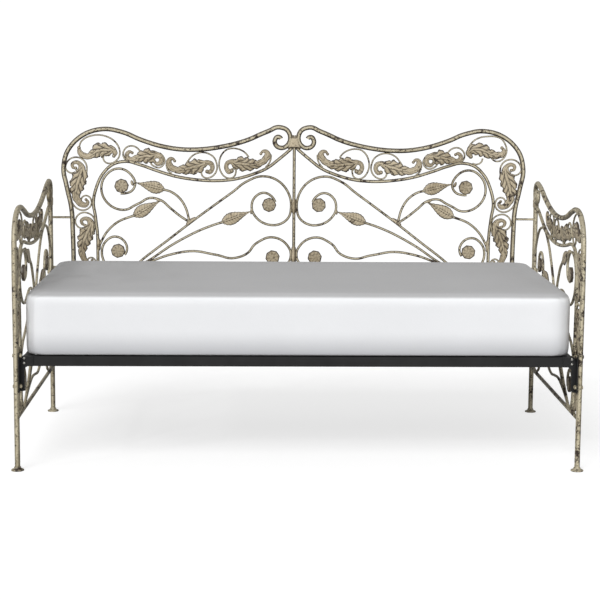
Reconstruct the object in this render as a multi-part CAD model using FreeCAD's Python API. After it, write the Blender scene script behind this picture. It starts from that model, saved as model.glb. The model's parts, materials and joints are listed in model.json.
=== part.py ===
"""Wrought metal daybed: scrolled back and arms, link spring deck and a twin mattress.

Millimetres, +Z up. The origin is on the floor under the middle of the bed, the front is -Y.
Flat outlines of the back are pairs (u, z): u is the distance outward from the middle.
Flat outlines of an arm are pairs (y, z).
"""
import os
import math
import FreeCAD
import Part

V = FreeCAD.Vector
os.makedirs("parts", exist_ok=True)

# ---- driving dimensions -------------------------------------------------------------------
ARM_X = 986.0            # plane of each arm
LEG_Y = 511.0            # leg centres, and the plane of the back
LEG_R = 9.5              # outer frame rods and legs, three quarter inch bar
INNER_R = 6.5            # inner frame rods, 13 mm bar
POST_R = 6.35            # centre post of the back, half inch bar
SCROLL_R = 5.0           # scrolls and stems, 10 mm bar
RING_R = 3.4             # border scrolls
BAR_R = 7.0              # bottom bars, 14 mm bar
BACK_BAR_Z = 590.0       # bottom bar of the back
POST_TOP_Z = 1128.0
ARM_BAR_Z = 185.0        # bottom bar of an arm
ROSETTE_R = 29.5
ROSETTE_T = 14.0
LEAF_T = 6.0
CASTING_T = 9.0          # acanthus castings in the border
FOOT_R = 22.5
FOOT_T = 6.0
FOOT_NECK_R = 12.0
FOOT_NECK_H = 14.0

MATTRESS_LENGTH = 1905.0
MATTRESS_WIDTH = 990.0
MATTRESS_HEIGHT = 228.0
MATTRESS_CORNER_R = 70.0
MATTRESS_TOP_R = 34.0       # round of the top edge
MATTRESS_FOOT_R = 12.0      # round of the bottom edge

DECK_TOP = 404.0         # top face of the deck frame, which the mattress lies on
DECK_X = 965.0           # half length of the deck frame, which runs on past the mattress
DECK_Y = MATTRESS_WIDTH / 2
ANGLE_LEG = 35.0         # legs of the angle bar of the deck frame
ANGLE_T = 3.0
BRACKET_T = 3.0
BRACKET_DROP_Z = 280.0   # lower end of a corner bracket
BRACKET_STRAP = 18.0
BRACKET_REACH = 48.0     # length of the bracket's lap on the rail
BRACKET_DEPTH = 30.0     # depth of the wing that is bolted to the leg
BRACKET_ROUND = 8.0
BRACKET_WING_Z = 418.0      # top of the wing, which the upper leg bolt goes through
BRACKET_GUSSET_R = 15.0
LEG_BOLT_Z = (300.0, 409.0)

WIRE_R = 1.5
WIRE_Z = 389.0
LINK_ROWS = 9
LINK_COLUMNS = 17
LINK_HALF_X = 880.0
LINK_HALF_Y = 425.0
SPRING_R = 7.0

COLLAR_T = 22.0          # cast collars of the crest
CONNECTOR_R = 4.5
CONNECTOR_Z = 800.0
LOW_STRAP_Z = (562.0, 600.0)
STRAP_LAP = 17.0         # how far a strap runs past the rods it joins
BOLT_R = 4.0
BOLT_HEAD_R = 7.5
BOLT_HEAD_T = 4.0
DOME_R = 6.5             # domed heads of the leg bolts
DOME_T = 2.5
NUT_ACROSS = 13.0
NUT_T = 6.5
RIVET_HEAD_R = 4.3
RIVET_HEAD_T = 2.2
RIVET_Z = (380.0, 397.0)
RIVET_INSET = 14.0       # from the bracket's wing to the line of rivets

# ---- outlines of the back, one half -------------------------------------------------------
BACK_OUTER = [(895, 590), (896, 720), (903, 850), (918, 920), (931, 1000), (915, 1066),
              (880, 1111), (830, 1143), (760, 1157), (690, 1144), (620, 1115), (540, 1090),
              (460, 1077), (380, 1077), (300, 1087), (200, 1112), (110, 1150), (60, 1168),
              (27, 1154), (16.5, 1126), (25, 1099), (48, 1085), (73, 1094), (79, 1114),
              (67, 1129), (54, 1122)]
BACK_INNER = [(12, 1082), (60, 1041), (110, 1003), (170, 977), (240, 958), (320, 951),
              (400, 955), (480, 968), (560, 992), (620, 1013), (680, 1027), (730, 1016),
              (772, 978), (800, 920), (812, 865), (804, 800), (797, 735), (796, 660),
              (796, 590)]
BACK_MAIN = [(658, 592), (620, 625), (510, 710), (400, 795), (320, 854), (250, 905),
             (195, 947), (130, 970), (62, 950), (24, 905), (11.5, 850), (24, 800),
             (60, 775), (105, 774), (148, 797), (171, 838), (160, 883), (122, 903),
             (88, 886), (76, 866)]
BACK_BRANCH = [(422, 782), (460, 806), (500, 838), (540, 871), (580, 880), (632, 856),
               (690, 831), (748, 852), (779, 908), (765, 965), (708, 998), (658, 972),
               (643, 935), (655, 910), (684, 898), (702, 898)]
BACK_WAVE = [(652, 594), (580, 622), (500, 650), (410, 664), (320, 650), (245, 636),
             (195, 652), (150, 699), (90, 722), (36, 700), (11.5, 650), (21, 620),
             (48, 604), (84, 608)]
BACK_CORNER = [(752, 594), (772, 622), (780, 655), (768, 697), (726, 722), (689, 704),
               (678, 668), (687, 648)]
BACK_LEAF_STEMS = {
    "inner": [(648, 594), (585, 628), (500, 686), (400, 741), (330, 770), (286, 784)],
    "upper": [(424, 786), (438, 838), (462, 878), (498, 905), (532, 915)],
    "lower": [(790, 686), (758, 742), (712, 783), (644, 810)],
}
BACK_LEAVES = {
    "inner": ((292, 783), (173, 828)),
    "upper": ((526, 914), (643, 942)),
    "lower": ((650, 807), (538, 871)),
}
BACK_ROSETTES = [(101, 854), (86, 640), (698, 928), (714, 664)]
LEAF_WIDTH = 50.0

# ---- border units of the back: thin scrolls, and the spine of each acanthus casting -------
# A spine is a list of (u, z, half width).
UNIT_A_RODS = [
    [(184, 1046), (200, 1066), (222, 1078), (246, 1082), (272, 1077), (291, 1060), (302, 1034),
     (303, 1006), (295, 984), (283, 969), (263, 961), (246, 966), (237, 980), (239, 998),
     (254, 997)],
    [(94, 1058), (95, 1040), (102, 1022), (116, 1007)],
]
UNIT_A_SPINE = [(253, 991, 8), (264, 988, 10), (275, 1004, 9), (270, 1022, 9), (256, 1028, 10),
                (238, 1022, 18), (218, 1021, 25), (196, 1018, 25), (176, 1017, 22),
                (156, 1018, 17), (136, 1024, 13), (117, 1038, 13), (108, 1056, 13),
                (115, 1070, 9), (128, 1070, 6), (135, 1061, 4)]
UNIT_B_RODS = [
    [(440, 1014), (428, 1032), (414, 1049), (394, 1061), (369, 1065), (344, 1059), (324, 1044),
     (314, 1022), (312, 1000), (320, 980), (338, 965), (358, 962), (371, 970), (375, 984),
     (369, 998)],
    [(515, 1026), (515, 1004), (507, 988), (494, 979)],
]
UNIT_B_SPINE = [(352, 988, 7), (341, 986, 9), (331, 1000, 9), (335, 1018, 10), (350, 1024, 10),
                (368, 1018, 16), (388, 1010, 27), (410, 1005, 26), (431, 999, 22),
                (453, 995, 16), (476, 994, 13), (497, 1004, 13), (507, 1022, 12),
                (501, 1037, 9), (490, 1038, 6), (483, 1030, 4)]
UNIT_C_RODS = [
    [(620, 1062), (632, 1080), (650, 1089), (668, 1088), (684, 1076), (691, 1058), (687, 1042),
     (676, 1031), (662, 1026)],
    [(544, 1062), (529, 1047), (523, 1030), (530, 1013), (545, 1003), (562, 1006), (580, 1020)],
]
UNIT_C_SPINE = [(654, 1062, 4), (665, 1066, 7), (676, 1054, 9), (671, 1039, 10), (656, 1035, 10),
                (638, 1039, 14), (618, 1045, 21), (598, 1049, 27), (578, 1049, 25),
                (561, 1053, 15), (544, 1050, 11), (536, 1036, 10), (541, 1022, 10),
                (555, 1018, 8), (564, 1026, 5)]
UNIT_D_RODS = [
    [(866, 1080), (860, 1104), (844, 1119), (820, 1129), (792, 1133), (760, 1128), (732, 1114),
     (712, 1092), (704, 1068), (707, 1046), (720, 1029), (740, 1019), (758, 1021), (769, 1032),
     (768, 1050)],
]
UNIT_D_SPINE = [(868, 1081, 6), (865, 1064, 10), (851, 1050, 12), (830, 1047, 12),
                (810, 1057, 17), (790, 1070, 26), (768, 1073, 26), (748, 1072, 20),
                (732, 1071, 14), (723, 1060, 10), (728, 1049, 6)]
UNIT_E_RODS = [
    [(842, 970), (837, 995), (841, 1018), (856, 1036), (880, 1043), (904, 1036), (920, 1016),
     (922, 996), (912, 984), (898, 979), (884, 984)],
    [(861, 866), (858, 880), (845, 888), (830, 884), (820, 866), (823, 847), (838, 833),
     (860, 829), (880, 837), (897, 858)],
]
UNIT_E_SPINE = [(882, 999, 5), (893, 1002, 6), (895, 1016, 7), (879, 1023, 8), (863, 1013, 10),
                (858, 992, 17), (864, 968, 28), (873, 944, 28), (879, 919, 25), (883, 894, 17),
                (876, 870, 14), (861, 854, 12), (844, 850, 10), (835, 862, 7), (842, 872, 4)]
UNIT_F_RODS = [
    [(810, 742), (807, 762), (807, 784), (816, 805), (838, 818), (860, 818), (879, 804),
     (886, 785), (881, 768), (868, 757), (850, 757)],
    [(840, 616), (837, 629), (824, 636), (811, 630), (806, 614), (812, 602), (826, 598)],
]
UNIT_F_SPINE = [(848, 768, 4), (858, 774, 6), (861, 787, 7), (847, 795, 8), (829, 788, 11),
                (824, 768, 16), (834, 748, 25), (843, 728, 27), (851, 706, 25), (857, 682, 19),
                (860, 658, 14), (855, 636, 12), (844, 620, 10), (829, 612, 8), (817, 616, 6),
                (820, 625, 4)]
UNIT_G_RODS = [
    [(702, 1073), (708, 1093), (724, 1115), (752, 1131), (784, 1136), (817, 1135), (841, 1125),
     (856, 1103), (862, 1079), (858, 1061), (848, 1046), (831, 1036), (812, 1038), (800, 1052)],
    [(764, 1047), (760, 1033), (744, 1023), (724, 1027)],
]
UNIT_G_SPINE = [(842, 1090, 5), (850, 1080, 8), (846, 1066, 11), (828, 1060, 13),
                (806, 1062, 16), (784, 1070, 19), (764, 1080, 24), (742, 1084, 22),
                (722, 1082, 19), (708, 1070, 13), (716, 1054, 8)]
UNITS = {
    "A": (UNIT_A_RODS, UNIT_A_SPINE),
    "B": (UNIT_B_RODS, UNIT_B_SPINE),
    "C": (UNIT_C_RODS, UNIT_C_SPINE),
    "D": (UNIT_D_RODS, UNIT_D_SPINE),
    "E": (UNIT_E_RODS, UNIT_E_SPINE),
    "F": (UNIT_F_RODS, UNIT_F_SPINE),
    "G": (UNIT_G_RODS, UNIT_G_SPINE),
}
BACK_UNITS = {"left": "ABCDEF", "right": "ABCGEF"}   # only the shoulder units differ

# ---- outlines of an arm -------------------------------------------------------------------
ARM_OUTER = [(-511, 14), (-511, 400), (-511, 760), (-506, 815), (-487, 861), (-450, 893),
             (-400, 910), (-350, 912), (-270, 897), (-180, 873), (-100, 861), (0, 857),
             (100, 863), (200, 880), (300, 906), (390, 934), (440, 945), (480, 948),
             (512, 934), (523.5, 906), (512, 880), (488, 871), (467, 882), (464, 903),
             (478, 914), (490, 905)]
ARM_INNER = [(504, 854), (452, 846), (400, 829), (300, 793), (200, 768), (100, 756),
             (0, 753), (-100, 758), (-200, 770), (-270, 781), (-325, 780), (-370, 758),
             (-397, 715), (-404, 660), (-403, 400), (-403, 185)]
ARM_REAR_LEG_TOP = 868.0
ARM_MAIN = [(-326, 188), (-240, 240), (-155, 305), (-72, 400), (0, 510), (50, 588),
            (115, 668), (195, 740), (262, 774), (335, 783), (405, 765), (462, 715),
            (495, 650), (487, 583), (455, 535), (395, 519), (335, 540), (298, 590),
            (299, 645), (330, 680), (367, 680), (394, 654)]
ARM_BRANCH = [(8, 522), (-46, 570), (-98, 591), (-150, 592), (-208, 574), (-272, 560),
              (-335, 578), (-378, 625), (-387, 685), (-360, 735), (-305, 755), (-250, 740),
              (-222, 699), (-231, 661), (-264, 646),
              (-277, 644)]
ARM_WAVE = [(-322, 190), (-260, 216), (-180, 242), (-100, 257), (-20, 253), (45, 247),
            (105, 259), (165, 293), (230, 330), (300, 352), (380, 348), (452, 316),
            (497, 262), (480, 214), (430, 194), (375, 196), (328, 222), (316, 262),
            (340, 294), (378, 290), (396, 283)]
ARM_CORNER = [(-352, 190), (-380, 226), (-388, 268), (-374, 311), (-335, 333), (-297, 313),
              (-287, 278), (-294, 264)]
ARM_LEAF_STEMS = {
    "inner": [(-318, 190), (-230, 232), (-130, 298), (-40, 382), (50, 476), (176, 586)],
    "upper": [(8, 526), (-8, 572), (-38, 624), (-80, 674), (-134, 705)],
    "lower": [(-401, 336), (-382, 386), (-338, 426), (-270, 455), (-196, 488)],
}
ARM_LEAVES = {
    "inner": ((171, 582), (298, 622)),
    "upper": ((-127, 702), (-246, 752)),
    "lower": ((-203, 485), (-88, 560)),
}
ARM_ROSETTES = [(376, 628), (398, 253), (-290, 672), (-323, 276)]
# unit, centre on the back (u, z), centre on the arm (y, z), scale along the arm and upwards
ARM_UNITS = [
    ("A", (200, 1021), (161.4, 812), (0.80, 0.80)),
    ("B", (414, 1013), (-14, 802.5), (0.84, 0.84)),
    ("C", (606, 1046), (-190.0, 812), (1.0, 1.0)),
    ("D", (786, 1076), (-382, 843.5), (1.0, 1.0)),
    ("F", (846, 708), (-457.9, 684), (1.03, 0.875)),
    ("F", (846, 708), (-457.9, 488), (1.03, 0.875)),
    ("F", (846, 708), (-457.9, 292), (1.03, 0.875)),
]

nodes = {}


# ---- planes -------------------------------------------------------------------------------
def back_plane(side):
    """Point of the back from (u, z), on the left half for side -1 and the right for +1."""
    return lambda p: V(side * p[0], LEG_Y, p[1])


def arm_plane(side):
    """Point of an arm from (y, z)."""
    return lambda p: V(side * ARM_X, p[0], p[1])


# ---- smooth chains of arcs ----------------------------------------------------------------
def heading(p, q):
    return math.atan2(q[1] - p[1], q[0] - p[0])


def wrapped(angle):
    return (angle + math.pi) % (2 * math.pi) - math.pi


def chain_headings(points):
    """Direction of travel at each point, as on the circle through it and its neighbours."""
    chords = [heading(p, q) for p, q in zip(points, points[1:])]
    lengths = [math.dist(p, q) for p, q in zip(points, points[1:])]
    inner = []
    for i in range(len(chords) - 1):
        share = lengths[i] / (lengths[i] + lengths[i + 1])
        inner.append(chords[i] + share * wrapped(chords[i + 1] - chords[i]))
    first = 2 * chords[0] - inner[0] if inner else chords[0]
    last = 2 * chords[-1] - inner[-1] if inner else chords[-1]
    return [first] + inner + [last]


def biarc_joint(p, a, q, b):
    """Point where two arcs meet that leave p along a and reach q along b."""
    vx = q[0] - p[0]
    vy = q[1] - p[1]
    sx = math.cos(a) + math.cos(b)
    sy = math.sin(a) + math.sin(b)
    across = vx * sx + vy * sy
    bend = 2 * (1 - math.cos(a - b))
    square = vx * vx + vy * vy
    if bend < 1e-9:
        d = square / (2 * across)
    else:
        d = (-across + math.sqrt(across * across + bend * square)) / bend
    x = (p[0] + d * math.cos(a) + q[0] - d * math.cos(b)) / 2
    y = (p[1] + d * math.sin(a) + q[1] - d * math.sin(b)) / 2
    return (x, y)


def arc_middle(p, a, q):
    """Middle of the arc from p to q that leaves p along a, or None for a straight run."""
    turn = wrapped(a - heading(p, q))
    chord = math.dist(p, q)
    rise = chord / 2 * math.tan(turn / 2)
    if abs(rise) < 0.01:
        return None
    nx = -(q[1] - p[1]) / chord
    ny = (q[0] - p[0]) / chord
    return ((p[0] + q[0]) / 2 + nx * rise, (p[1] + q[1]) / 2 + ny * rise)


def chain_edges(points, plane):
    """Edges of a smooth chain of arcs and straight runs through the points."""
    headings = chain_headings(points)
    edges = []
    for i in range(len(points) - 1):
        p = points[i]
        q = points[i + 1]
        m = biarc_joint(p, headings[i], q, headings[i + 1])
        mid_heading = 2 * heading(p, m) - headings[i]
        for start, direction, end in ((p, headings[i], m), (m, mid_heading, q)):
            middle = arc_middle(start, direction, end)
            if middle is None:
                edges.append(Part.LineSegment(plane(start), plane(end)).toShape())
            else:
                edges.append(Part.Arc(plane(start), plane(middle), plane(end)).toShape())
    return edges


# ---- shapes -------------------------------------------------------------------------------
def rod(points, radius, plane):
    """Round bar bent along a smooth chain through the points."""
    edges = chain_edges(points, plane)
    path = Part.Wire(edges)
    start = edges[0].valueAt(edges[0].FirstParameter)
    along = edges[0].tangentAt(edges[0].FirstParameter)
    section = Part.Wire(Part.makeCircle(radius, start, along))
    shape = path.makePipeShell([section], True, False)
    expected = math.pi * radius ** 2 * path.Length
    if not shape.isValid() or abs(shape.Volume / expected - 1) > 0.01:
        print("rod needs a look:", shape.isValid(), shape.Volume, expected, points[0])
    return shape


def straight_rod(start, end, radius):
    return Part.makeCylinder(radius, start.distanceToPoint(end), start, end - start)


def plate(outline, plane, thickness):
    """Flat plate, centred on the plane, whose closed outline is made of smooth chains."""
    edges = []
    for stretch in outline:
        edges += chain_edges(stretch, plane)
    face = Part.Face(Part.Wire(Part.__sortEdges__(edges)))
    normal = face.normalAt(0, 0)
    face.translate(normal * (-thickness / 2))
    return face.extrude(normal * thickness)


def leaf(base, tip, plane):
    """Pointed leaf from base to tip."""
    length = math.dist(base, tip)
    angle = heading(base, tip)
    shape = [(0.0, 0.1), (0.10, 0.32), (0.36, 0.5), (0.66, 0.27), (0.86, 0.09), (1.0, 0.02)]

    def at(t, w):
        x = base[0] + t * length * math.cos(angle) - w * LEAF_WIDTH * math.sin(angle)
        y = base[1] + t * length * math.sin(angle) + w * LEAF_WIDTH * math.cos(angle)
        return (x, y)

    upper = [at(t, w) for t, w in shape]
    lower = [at(t, -w) for t, w in shape]
    return plate([upper, [upper[-1], lower[-1]], lower, [upper[0], lower[0]]], plane, LEAF_T)


def spray(stem, base, tip, plane):
    """Stem forged in one piece with its leaf."""
    return rod(stem, SCROLL_R, plane).fuse(leaf(base, tip, plane)).removeSplitter()


def rosette(centre, plane):
    """Domed boss on both faces of the scrollwork."""
    middle = plane(centre)
    normal = (plane((1, 0)) - plane((0, 0))).cross(plane((0, 1)) - plane((0, 0)))
    disc = Part.makeCylinder(ROSETTE_R, ROSETTE_T, middle - normal * (ROSETTE_T / 2), normal)
    return disc.makeFillet(ROSETTE_T * 0.4, [e for e in disc.Edges if e.Closed])


def casting(spine, plane, thickness):
    """Acanthus casting: a plate of changing width along a spine that curls at its ends."""
    centre = [(p[0], p[1]) for p in spine]
    left = []
    right = []
    for (x, y, w), a in zip(spine, chain_headings(centre)):
        left.append((x - w * math.sin(a), y + w * math.cos(a)))
        right.append((x + w * math.sin(a), y - w * math.cos(a)))
    ends = [[left[0], right[0]], [left[-1], right[-1]]]
    return plate([left, right] + ends, plane, thickness)


def mirrored(points, source, target, scale):
    """Copy of outline points, scaled about source and turned left to right, set on target."""
    result = []
    for p in points:
        across = (source[0] - p[0]) * scale[0]
        up = (p[1] - source[1]) * scale[1]
        widths = tuple(w * min(scale) for w in p[2:])
        result.append((target[0] + across, target[1] + up) + widths)
    return result


def add(name, *solids):
    """Store the solids of one node and write them."""
    pieces = [s for shape in solids for s in shape.Solids]
    for piece in pieces:
        if not piece.isValid():
            print("invalid solid in", name)
    shape = pieces[0] if len(pieces) == 1 else Part.makeCompound(pieces)
    nodes[name] = shape
    shape.exportStep("parts/" + name + ".step")


# ---- back ---------------------------------------------------------------------------------
def build_back_half(side, word):
    plane = back_plane(side)
    add("back_outer_rod_" + word, rod(BACK_OUTER, LEG_R, plane))
    add("back_inner_rod_" + word, rod(BACK_INNER, INNER_R, plane))
    add("back_main_scroll_" + word, rod(BACK_MAIN, SCROLL_R, plane))
    add("back_branch_scroll_" + word, rod(BACK_BRANCH, SCROLL_R, plane))
    add("back_wave_scroll_" + word, rod(BACK_WAVE, SCROLL_R, plane))
    add("back_corner_scroll_" + word, rod(BACK_CORNER, SCROLL_R, plane))
    sprays = [spray(BACK_LEAF_STEMS[key], *BACK_LEAVES[key], plane) for key in BACK_LEAVES]
    add("back_leaf_sprays_" + word, *sprays)
    rods = []
    castings = []
    for key in BACK_UNITS[word]:
        thin, spine = UNITS[key]
        rods += [rod(path, RING_R, plane) for path in thin]
        castings.append(casting(spine, plane, CASTING_T))
    add("back_border_scrolls_" + word, *rods)
    add("back_acanthus_leaves_" + word, *castings)


def build_back_middle():
    foot = V(0, LEG_Y, BACK_BAR_Z)
    add("back_centre_post", straight_rod(foot, V(0, LEG_Y, POST_TOP_Z), POST_R))
    ends = [V(side * BACK_OUTER[0][0], LEG_Y, BACK_BAR_Z) for side in (-1, 1)]
    add("back_bottom_bar", straight_rod(ends[0], ends[1], BAR_R))
    bosses = [rosette(c, back_plane(side)) for side in (-1, 1) for c in BACK_ROSETTES]
    add("back_rosettes", *bosses)


def crest_collars():
    """Cast collars that tie the curled crest rods to the centre post and to the rear legs."""
    half = COLLAR_T / 2
    corners = [V(-20, -half, 1086), V(20, -half, 1086), V(14, -half, 1134), V(-14, -half, 1134)]
    face = Part.Face(Part.makePolygon([c + V(0, LEG_Y, 0) for c in corners + corners[:1]]))
    solids = [face.extrude(V(0, COLLAR_T, 0))]
    for side in (-1, 1):
        corners = [V(-half, 494, 848), V(-half, 523, 848), V(-half, 524, 882), V(-half, 499, 882)]
        middle = V(side * ARM_X, 0, 0)
        face = Part.Face(Part.makePolygon([c + middle for c in corners + corners[:1]]))
        solids.append(face.extrude(V(COLLAR_T, 0, 0)))
    add("crest_collars", *solids)


def strap_bolt(x, length):
    """Bolt through a rear strap: head in front of the rod at x, nut behind the strap."""
    z = sum(LOW_STRAP_Z) / 2
    front = V(x, LEG_Y - LEG_R, z)
    back = V(x, LEG_Y + LEG_R + BRACKET_T, z)
    head = Part.makeCylinder(BOLT_HEAD_R, BOLT_HEAD_T, front, V(0, -1, 0))
    shank = straight_rod(front, back + V(0, length, 0), BOLT_R)
    return head.fuse([shank, hex_nut(back, V(0, 1, 0))])


def back_fixings():
    """Short rods and flat straps that join the back to the rear legs."""
    rods = []
    low, high = LOW_STRAP_Z
    rod_x = BACK_OUTER[0][0]
    for side, word in ((-1, "left"), (1, "right")):
        start = V(side * (rod_x + 12), LEG_Y, CONNECTOR_Z)
        end = V(side * (ARM_X - LEG_R + 1), LEG_Y, CONNECTOR_Z)
        rods.append(straight_rod(start, end, CONNECTOR_R))
        corner = V(rod_x - STRAP_LAP, LEG_Y + LEG_R, low)
        strap = Part.makeBox(ARM_X - rod_x + 2 * STRAP_LAP, BRACKET_T, high - low, corner)
        strap = strap.makeFillet(10, [e for e in strap.Edges if abs(e.tangentAt(0).y) > 0.9])
        for x in (rod_x, ARM_X):
            strap = strap.cut(strap_bolt(x, NUT_T + 2))
        if side < 0:
            strap = strap.mirror(V(0, 0, 0), V(1, 0, 0))
        add("lower_back_bracket_" + word, strap)
    add("back_connector_rods", *rods)


# ---- arms ---------------------------------------------------------------------------------
def build_arm(side, word):
    plane = arm_plane(side)
    add("arm_outer_rod_" + word, rod(ARM_OUTER, LEG_R, plane))
    leg_foot = plane((LEG_Y, FOOT_NECK_H))
    leg = straight_rod(leg_foot, plane((LEG_Y, ARM_REAR_LEG_TOP)), LEG_R)
    add("arm_rear_leg_" + word, leg)
    add("arm_inner_rod_" + word, rod(ARM_INNER, INNER_R, plane))
    bar = straight_rod(plane((-LEG_Y, ARM_BAR_Z)), plane((LEG_Y, ARM_BAR_Z)), BAR_R)
    add("arm_bottom_bar_" + word, bar)
    add("arm_main_scroll_" + word, rod(ARM_MAIN, SCROLL_R, plane))
    add("arm_branch_scroll_" + word, rod(ARM_BRANCH, SCROLL_R, plane))
    add("arm_wave_scroll_" + word, rod(ARM_WAVE, SCROLL_R, plane))
    add("arm_corner_scroll_" + word, rod(ARM_CORNER, SCROLL_R, plane))
    sprays = [spray(ARM_LEAF_STEMS[key], *ARM_LEAVES[key], plane) for key in ARM_LEAVES]
    add("arm_leaf_sprays_" + word, *sprays)
    rods = []
    castings = []
    for key, source, target, scale in ARM_UNITS:
        thin, spine = UNITS[key]
        for path in thin:
            rods.append(rod(mirrored(path, source, target, scale), RING_R, plane))
        castings.append(casting(mirrored(spine, source, target, scale), plane, CASTING_T))
    add("arm_border_scrolls_" + word, *rods)
    add("arm_acanthus_leaves_" + word, *castings)


def build_arm_bosses_and_feet():
    bosses = [rosette(c, arm_plane(side)) for side in (-1, 1) for c in ARM_ROSETTES]
    add("arm_rosettes", *bosses)
    feet = []
    for x in (-ARM_X, ARM_X):
        for y in (-LEG_Y, LEG_Y):
            disc = Part.makeCylinder(FOOT_R, FOOT_T, V(x, y, 0))
            neck = Part.makeCone(FOOT_NECK_R + 4, FOOT_NECK_R, FOOT_NECK_H - FOOT_T,
                                 V(x, y, FOOT_T))
            feet.append(disc.fuse(neck))
    add("feet", *feet)


# ---- deck ---------------------------------------------------------------------------------
def angle_bar(length, top):
    """Angle bar along +X: top flange reaching +Y, upright flange on the Y = 0 side."""
    upright = Part.makeBox(length, ANGLE_T, ANGLE_LEG, V(0, 0, top - ANGLE_LEG))
    flange = Part.makeBox(length, ANGLE_LEG, ANGLE_T, V(0, 0, top - ANGLE_T))
    return upright.fuse(flange).removeSplitter()


def build_deck_frame():
    front = angle_bar(2 * DECK_X, DECK_TOP)
    front.translate(V(-DECK_X, -DECK_Y, 0))
    add("deck_front_rail", front)
    add("deck_rear_rail", front.mirror(V(0, 0, 0), V(0, 1, 0)))
    end = angle_bar(2 * (DECK_Y - ANGLE_T), DECK_TOP - ANGLE_T)
    end.rotate(V(0, 0, 0), V(0, 0, 1), -90)
    end.translate(V(-DECK_X, DECK_Y - ANGLE_T, 0))
    add("deck_end_rail_left", end)
    add("deck_end_rail_right", end.mirror(V(0, 0, 0), V(1, 0, 0)))


def corner_bracket():
    """Bracket of the front right corner: laps the rail's face and drops beside the leg."""
    face_y = -DECK_Y - BRACKET_T
    outer_x = ARM_X - LEG_R
    inner_x = outer_x - BRACKET_STRAP
    lap_x = outer_x - BRACKET_REACH
    lap_z = DECK_TOP - ANGLE_LEG
    r = BRACKET_GUSSET_R
    low = BRACKET_DROP_Z + BRACKET_ROUND
    edges = [((outer_x, BRACKET_DROP_Z), (outer_x, DECK_TOP)), ((outer_x, DECK_TOP), (lap_x, DECK_TOP)),
             ((lap_x, DECK_TOP), (lap_x, lap_z)), ((lap_x, lap_z), (inner_x - r, lap_z)),
             ((inner_x, lap_z - r), (inner_x, low)),
             ((inner_x + BRACKET_ROUND, BRACKET_DROP_Z), (outer_x, BRACKET_DROP_Z))]
    shapes = [Part.LineSegment(V(a[0], face_y, a[1]), V(b[0], face_y, b[1])).toShape()
              for a, b in edges]
    slant = math.sqrt(0.5)
    rounds = [((inner_x - r, lap_z), (inner_x - r + r * slant, lap_z - r + r * slant),
               (inner_x, lap_z - r)),
              ((inner_x, low), (inner_x + BRACKET_ROUND * (1 - slant),
                                low - BRACKET_ROUND * slant),
               (inner_x + BRACKET_ROUND, BRACKET_DROP_Z))]
    for arc in rounds:
        shapes.append(Part.Arc(*[V(x, face_y, z) for x, z in arc]).toShape())
    face = Part.Face(Part.Wire(Part.__sortEdges__(shapes)))
    strap = face.extrude(V(0, BRACKET_T, 0))
    wing = Part.makeBox(BRACKET_T, BRACKET_DEPTH, BRACKET_WING_Z - BRACKET_DROP_Z,
                        V(outer_x - BRACKET_T, face_y - BRACKET_DEPTH + BRACKET_T,
                          BRACKET_DROP_Z))
    return strap.fuse(wing).removeSplitter()


def four_corners(shape):
    """The shape of the front right corner, and its three mirror images."""
    left = shape.mirror(V(0, 0, 0), V(1, 0, 0))
    rear = [s.mirror(V(0, 0, 0), V(0, 1, 0)) for s in (shape, left)]
    return [shape, left] + rear


def leg_bolt(z):
    """Bolt through the front right leg and its bracket, with a domed head outside."""
    outside = V(ARM_X + LEG_R, -LEG_Y, z)
    inside = V(ARM_X - LEG_R - BRACKET_T, -LEG_Y, z)
    head = Part.makeCylinder(DOME_R, DOME_T, outside, V(1, 0, 0))
    head = head.makeFillet(DOME_T * 0.8, [e for e in head.Edges
                                          if e.Closed and e.CenterOfMass.x > outside.x + 1])
    shank = straight_rod(outside, inside - V(NUT_T + 2, 0, 0), BOLT_R)
    return head.fuse([shank, hex_nut(inside, V(-1, 0, 0))])


def rivet(z):
    """Rivet through the lap of the front right bracket and the rail behind it."""
    face = V(ARM_X - LEG_R - BRACKET_T - RIVET_INSET, -DECK_Y - BRACKET_T, z)
    head = Part.makeCylinder(RIVET_HEAD_R, RIVET_HEAD_T, face, V(0, -1, 0))
    rim = [e for e in head.Edges if e.Closed and e.CenterOfMass.y < face.y - 1]
    head = head.makeFillet(RIVET_HEAD_T * 0.8, rim)
    return head.fuse(straight_rod(face, face + V(0, BRACKET_T + ANGLE_T, 0), RIVET_HEAD_R / 2))


def build_brackets_and_fasteners():
    bolts = []
    for z in LEG_BOLT_Z:
        bolts += four_corners(leg_bolt(z))
    for x in (BACK_OUTER[0][0], ARM_X):
        bolt = strap_bolt(x, NUT_T + 2)
        bolts += [bolt, bolt.mirror(V(0, 0, 0), V(1, 0, 0))]
    add("frame_bolts", *bolts)
    rivets = []
    for z in RIVET_Z:
        rivets += four_corners(rivet(z))
    add("deck_rivets", *rivets)
    brackets = []
    for bracket in four_corners(corner_bracket()):
        for fastener in bolts + rivets:
            if bracket.BoundBox.intersect(fastener.BoundBox):
                bracket = bracket.cut(fastener)
        brackets.append(bracket)
    add("deck_corner_brackets", *brackets)
    for name in ("deck_front_rail", "deck_rear_rail"):
        add(name, nodes[name].cut(rivets))
    for name in ("arm_outer_rod_left", "arm_outer_rod_right", "arm_rear_leg_left",
                 "arm_rear_leg_right", "back_outer_rod_left", "back_outer_rod_right",
                 "back_bottom_bar"):
        add(name, nodes[name].cut(bolts))


def hex_nut(start, direction):
    radius = NUT_ACROSS / math.sqrt(3)
    nut = Part.Face(Part.Wire(Part.makePolygon(
        [V(radius * math.cos(k * math.pi / 3), radius * math.sin(k * math.pi / 3), 0)
         for k in range(7)]))).extrude(V(0, 0, NUT_T))
    nut.Placement = FreeCAD.Placement(start, FreeCAD.Rotation(V(0, 0, 1), direction))
    return nut


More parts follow.
